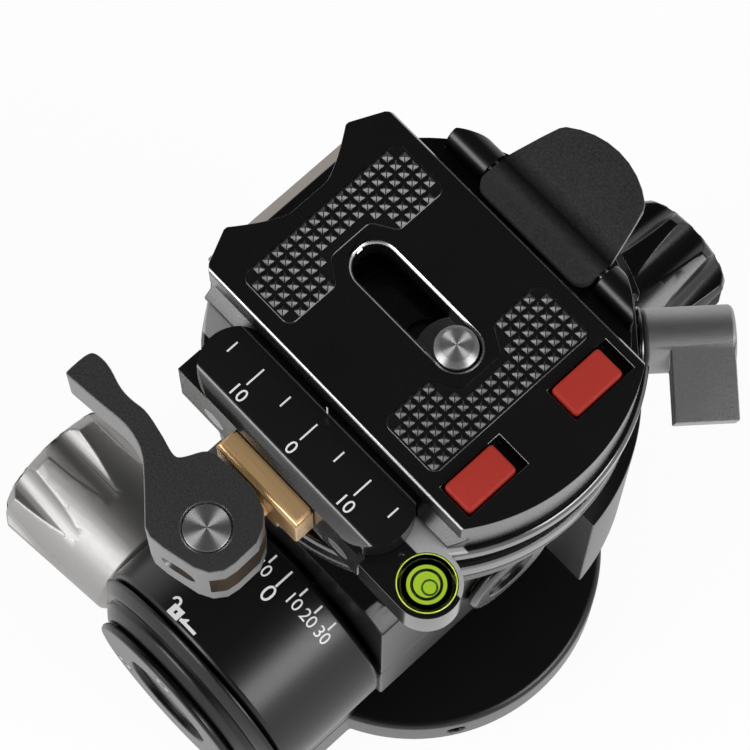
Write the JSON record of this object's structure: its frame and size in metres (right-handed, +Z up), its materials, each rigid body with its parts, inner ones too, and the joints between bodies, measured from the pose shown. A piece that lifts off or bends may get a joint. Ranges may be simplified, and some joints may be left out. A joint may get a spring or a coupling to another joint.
{
  "type": "geared tripod head",
  "caption": "Geared tripod head with worm-driven tilt and roll knobs, a panning base for a dovetail clamp with a cam lever, and a quick-release camera plate.",
  "frame": {"origin": "centre of the base's lower face, at the mouth of the tripod thread", "axes": "+Z up along the pan axis, +X along the clamp's jaws towards the plate's nose, +Y across the jaws towards the safety tab"},
  "size_m": [0.0839, 0.111, 0.1337],
  "materials": {
    "gloss_black": "gloss black anodised",
    "satin_black": "satin black anodised",
    "gunmetal": "sandblasted grey anodised",
    "titanium": "satin titanium-grey anodised",
    "steel": "turned steel",
    "bronze": "machined bronze",
    "brass": "satin brass",
    "rubber": "moulded black rubber",
    "red": "red plastic",
    "vial": "clear",
    "fluid": "lime-green spirit"
  },
  "bodies": {
    "base": {"base_disc": "gloss_black", "tripod_bush": "steel", "base_pad": "rubber", "bush_grub_screws": "steel", "tilt_housing": "gloss_black", "pedestal_screws": "steel", "tilt_cover": "gloss_black", "cover_screws": "steel", "right_pedestal": "gloss_black", "tilt_bushes": "bronze", "tilt_worm_bearings": "steel"},
    "release_ring": {"tilt_release_ring": "satin_black"},
    "tilt_drive": {"tilt_worm": "steel", "tilt_knob": "titanium", "tilt_knob_cap": "gunmetal", "tilt_knob_screw": "steel"},
    "core": {"core_lower": "satin_black", "core_upper": "satin_black", "core_screws": "steel", "tilt_trunnions": "steel", "tilt_wheel": "bronze", "roll_bushes": "bronze", "roll_worm_bearings": "steel"},
    "roll_drive": {"roll_worm": "steel", "roll_knob": "gloss_black", "roll_knob_cap": "gunmetal", "roll_knob_screw": "steel"},
    "yoke": {"yoke_disc": "gloss_black", "yoke_cheek_right": "gloss_black", "yoke_cheek_left": "gloss_black", "cheek_screws": "steel", "roll_shaft": "steel", "roll_wheel": "bronze", "shaft_caps": "satin_black", "pan_scale_ring": "satin_black", "pan_axle": "steel"},
    "clamp": {"clamp_body": "gloss_black", "pan_ring": "gloss_black", "pan_cap": "satin_black", "fixed_jaw": "gloss_black", "fixed_jaw_screws": "steel", "bubble_vial": "vial", "bubble_fluid": "fluid", "tie_rod": "brass", "lever_pin": "steel", "jaw_springs": "steel", "tab_pin": "steel"},
    "pan_lock": {"pan_lock_lever": "gunmetal", "pan_lock_washer": "satin_black"},
    "lever": {"clamp_lever": "gunmetal"},
    "jaw": {"scale_jaw": "gloss_black", "cam_shoe": "brass", "guide_pins": "steel"},
    "tab": {"safety_tab": "gunmetal"},
    "plate": {"quick_plate": "satin_black", "grip_pads": "rubber"},
    "slider": {"screw_washer": "steel"},
    "screw": {"camera_screw": "steel"},
    "button_left": {"left_button": "red"},
    "button_right": {"right_button": "red"}
  },
  "joints": [
    {"name": "tilt", "type": "hinge", "parent": "base", "child": "core", "pos_m": [0, 0, 0.052], "axis": [0, 1, 0], "range_deg": [-30, 30]},
    {"name": "tilt_knob", "type": "hinge", "parent": "base", "child": "tilt_drive", "pos_m": [-0.03, -0.0385, 0.039], "axis": [1, 0, 0], "range_deg": [-900, 900]},
    {"name": "tilt_release", "type": "hinge", "parent": "base", "child": "release_ring", "pos_m": [0, -0.0508, 0.052], "axis": [0, 1, 0], "range_deg": [0, 25], "stiffness_Nm_per_rad": 0.05},
    {"name": "roll", "type": "hinge", "parent": "core", "child": "yoke", "pos_m": [0, 0, 0.052], "axis": [1, 0, 0], "range_deg": [-30, 30]},
    {"name": "roll_knob", "type": "hinge", "parent": "core", "child": "roll_drive", "pos_m": [0.0035, 0.04, 0.065], "axis": [0, 1, 0], "range_deg": [-900, 900]},
    {"name": "pan", "type": "hinge", "parent": "yoke", "child": "clamp", "pos_m": [0, 0, 0.11], "axis": [0, 0, 1], "continuous": true},
    {"name": "pan_lock", "type": "hinge", "parent": "clamp", "child": "pan_lock", "pos_m": [0.02314, 0.02758, 0.1167], "axis": [0.6428, 0.766, 0], "range_deg": [-30, 40]},
    {"name": "clamp_lever", "type": "hinge", "parent": "clamp", "child": "lever", "pos_m": [0, -0.0418, 0.1173], "axis": [0, 0, 1], "range_deg": [0, 100]},
    {"name": "scale_jaw", "type": "slide", "parent": "clamp", "child": "jaw", "axis": [0, -1, 0], "range_m": [0, 0.0015]},
    {"name": "safety_tab", "type": "hinge", "parent": "clamp", "child": "tab", "pos_m": [0, 0.023, 0.1297], "axis": [1, 0, 0], "range_deg": [-15, 0], "stiffness_Nm_per_rad": 0.05},
    {"name": "plate_slide", "type": "slide", "parent": "clamp", "child": "plate", "axis": [1, 0, 0], "range_m": [-0.012, 0.012]},
    {"name": "screw_slide", "type": "slide", "parent": "plate", "child": "slider", "axis": [1, 0, 0], "range_m": [-0.016, 0]},
    {"name": "camera_screw", "type": "hinge", "parent": "slider", "child": "screw", "pos_m": [0.00595, 0, 0.128], "axis": [0, 0, 1], "continuous": true},
    {"name": "left_button", "type": "slide", "parent": "plate", "child": "button_left", "axis": [0, 1, 0], "range_m": [0, 0.0015], "stiffness_N_per_m": 200},
    {"name": "right_button", "type": "slide", "parent": "plate", "child": "button_right", "axis": [0, 1, 0], "range_m": [0, 0.0015], "stiffness_N_per_m": 200}
  ],
  "couplings": [
    {"joint": "tilt_knob", "follows": "tilt", "ratio": 30},
    {"joint": "roll_knob", "follows": "roll", "ratio": 30},
    {"joint": "scale_jaw", "follows": "clamp_lever", "m_per_rad": 0.000859}
  ]
}
